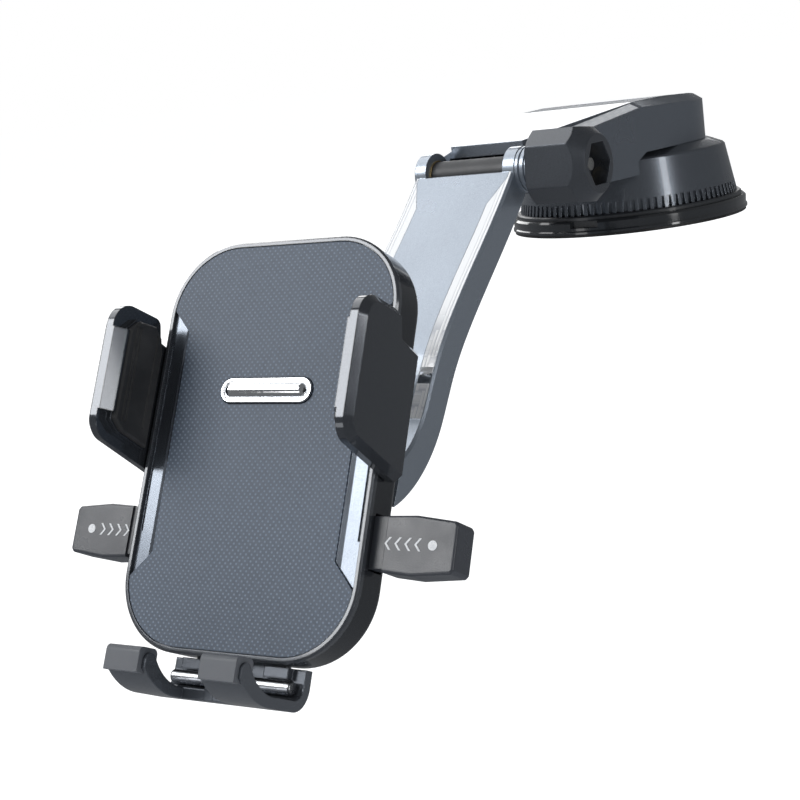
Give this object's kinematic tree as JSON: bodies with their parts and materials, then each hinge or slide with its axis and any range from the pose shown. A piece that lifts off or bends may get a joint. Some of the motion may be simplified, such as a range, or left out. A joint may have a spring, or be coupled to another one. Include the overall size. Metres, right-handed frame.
{
  "type": "suction phone mount",
  "caption": "Dashboard phone mount: suction base with locking lever, neck, folding hinged arm, ball joint, and a cradle with geared side clamps and a sliding foot.",
  "frame": {"origin": "centre of the suction face, on the surface the base sticks to", "axes": "+Z away from the surface, the arm reaches toward -Y, +X along the folding hinge to the right"},
  "size_m": [0.1123, 0.294, 0.1204],
  "materials": {
    "gel": "tacky clear-black gel, smooth",
    "cup_rubber": "moulded rubber",
    "flange_gloss": "high gloss black",
    "ring_plastic": "satin",
    "base_plastic": "satin gunmetal, ribbed skirt",
    "screw_steel": "zinc plated",
    "pin_steel": "ground steel",
    "frame_plastic": "moulded, fine texture",
    "housing_plastic": "gunmetal lacquer",
    "weave_strip": "silver woven fibre look under clear lacquer",
    "plate_gloss": "blank inlay, gloss",
    "lever_plastic": "gunmetal lacquer",
    "spring_steel": "music wire",
    "arm_plastic": "gunmetal lacquer",
    "washer_brass": "turned",
    "ball_plastic": "smooth acetal",
    "knob_plastic": "satin",
    "liner_plastic": "grippy friction liner",
    "shell_plastic": "gunmetal lacquer",
    "frame_gloss": "gunmetal lacquer, gloss edge",
    "panel_pad": "soft pad with a fine diamond print",
    "trim_gloss": "polished metallic trim",
    "badge_chrome": "polished",
    "collar_plastic": "moulded grip",
    "clamp_gloss": "gunmetal lacquer, polished chamfer",
    "pad_rubber": "ribbed rubber",
    "gear_plastic": "natural acetal",
    "button_plastic": "satin",
    "foot_plastic": "gunmetal lacquer"
  },
  "bodies": {
    "base": {"gel_pad": "gel", "suction_cup": "cup_rubber", "flange_ring": "flange_gloss", "pressure_ring": "ring_plastic", "base_shell": "base_plastic", "base_screws": "screw_steel", "cam_plate": "pin_steel", "neck_frame": "frame_plastic", "upper_housing": "housing_plastic", "head_strip_left": "weave_strip", "head_strip_right": "weave_strip", "name_plate": "plate_gloss"},
    "stem": {"stem": "frame_plastic", "stem_spring": "spring_steel", "lever_pin": "pin_steel"},
    "lever": {"lock_lever": "lever_plastic"},
    "arm": {"arm_body": "arm_plastic", "arm_back_cover": "arm_plastic", "arm_cover_screws": "screw_steel", "arm_strip_left": "weave_strip", "arm_strip_right": "weave_strip", "hinge_bolt": "screw_steel", "friction_washers": "washer_brass", "ball_stud": "ball_plastic", "stud_screw": "screw_steel"},
    "knob": {"clamp_knob": "knob_plastic", "knob_insert": "washer_brass", "thrust_washer": "pin_steel"},
    "liner_rear": {"ball_liner_rear": "liner_plastic"},
    "liner_front": {"ball_liner_front": "liner_plastic"},
    "cradle": {"rear_shell": "shell_plastic", "ball_socket": "frame_plastic", "socket_screws": "screw_steel", "front_frame": "frame_gloss", "front_pad": "panel_pad", "side_trim_left": "trim_gloss", "side_trim_right": "trim_gloss", "badge": "badge_chrome", "pinion_pin": "pin_steel", "pawl_pins": "pin_steel", "case_screws": "screw_steel"},
    "collar": {"collar_nut": "collar_plastic"},
    "clamp_right": {"clamp_arm_right": "clamp_gloss", "arm_pad_right": "pad_rubber", "opening_spring": "spring_steel"},
    "clamp_left": {"clamp_arm_left": "clamp_gloss", "arm_pad_left": "pad_rubber"},
    "pinion": {"pinion": "gear_plastic"},
    "button_right": {"release_button_right": "button_plastic", "button_spring_right": "spring_steel"},
    "button_left": {"release_button_left": "button_plastic", "button_spring_left": "spring_steel"},
    "pawl_right": {"pawl_right": "gear_plastic"},
    "pawl_left": {"pawl_left": "gear_plastic"},
    "foot": {"foot_tray": "foot_plastic", "foot_bar": "pin_steel", "foot_caps": "pad_rubber"}
  },
  "joints": [
    {"name": "stem_travel", "type": "slide", "parent": "base", "child": "stem", "axis": [0, 0, -1], "range_m": [0, 0.0012], "deforming": ["stem_spring", "suction_cup"]},
    {"name": "lever_lift", "type": "hinge", "parent": "stem", "child": "lever", "pos_m": [0, 0, 0.034], "axis": [1, 0, 0], "range_deg": [0, 70]},
    {"name": "arm_fold", "type": "hinge", "parent": "base", "child": "arm", "pos_m": [0, -0.093, 0.028], "axis": [1, 0, 0], "range_deg": [-60, 25]},
    {"name": "knob_turn", "type": "hinge", "parent": "arm", "child": "knob", "pos_m": [0, -0.093, 0.028], "axis": [1, 0, 0], "continuous": true},
    {"name": "ball_tilt", "type": "hinge", "parent": "arm", "child": "liner_rear", "pos_m": [0, -0.185, -0.0345], "axis": [0.9945, 0.1045, 0], "range_deg": [-15, 15]},
    {"name": "ball_pan", "type": "hinge", "parent": "liner_rear", "child": "liner_front", "pos_m": [0, -0.185, -0.0345], "axis": [-0.0523, 0.4973, 0.866], "range_deg": [-15, 15]},
    {"name": "ball_spin", "type": "hinge", "parent": "liner_front", "child": "cradle", "pos_m": [0, -0.185, -0.0345], "axis": [-0.0905, 0.8613, -0.5], "continuous": true},
    {"name": "collar_turn", "type": "hinge", "parent": "cradle", "child": "collar", "pos_m": [0, -0.185, -0.0345], "axis": [-0.0905, 0.8613, -0.5], "continuous": true},
    {"name": "clamp_open", "type": "slide", "parent": "cradle", "child": "clamp_right", "axis": [0.9945, 0.1045, 0], "range_m": [0, 0.013]},
    {"name": "clamp_follow", "type": "slide", "parent": "cradle", "child": "clamp_left", "axis": [-0.9945, -0.1045, 0], "range_m": [0, 0.013]},
    {"name": "pinion_spin", "type": "hinge", "parent": "cradle", "child": "pinion", "pos_m": [0.00134, -0.19773, -0.01787], "axis": [-0.0905, 0.8613, -0.5], "range_deg": [0, 149.5]},
    {"name": "button_right_press", "type": "slide", "parent": "cradle", "child": "button_right", "axis": [-0.9945, -0.1045, 0], "range_m": [0, 0.003], "stiffness_N_per_m": 700, "springref_m": -0.001, "deforming": ["button_spring_right"]},
    {"name": "button_left_press", "type": "slide", "parent": "cradle", "child": "button_left", "axis": [0.9945, 0.1045, 0], "range_m": [0, 0.003], "stiffness_N_per_m": 700, "springref_m": -0.001, "deforming": ["button_spring_left"]},
    {"name": "pawl_right_swing", "type": "hinge", "parent": "cradle", "child": "pawl_right", "pos_m": [0.01486, -0.202, -0.03308], "axis": [-0.0905, 0.8613, -0.5], "range_deg": [0, 14]},
    {"name": "pawl_left_swing", "type": "hinge", "parent": "cradle", "child": "pawl_left", "pos_m": [-0.011, -0.20472, -0.03308], "axis": [0.0905, -0.8613, 0.5], "range_deg": [0, 14]},
    {"name": "foot_slide", "type": "slide", "parent": "cradle", "child": "foot", "axis": [0.0523, -0.4973, -0.866], "range_m": [0, 0.018]}
  ],
  "couplings": [
    {"joint": "lever_lift", "follows": "stem_travel", "rad_per_m": 1018.1},
    {"joint": "clamp_follow", "follows": "clamp_open", "ratio": 1},
    {"joint": "pinion_spin", "follows": "clamp_open", "rad_per_m": 200},
    {"joint": "pawl_right_swing", "follows": "button_right_press", "rad_per_m": 73.333},
    {"joint": "pawl_left_swing", "follows": "button_left_press", "rad_per_m": 73.333}
  ]
}
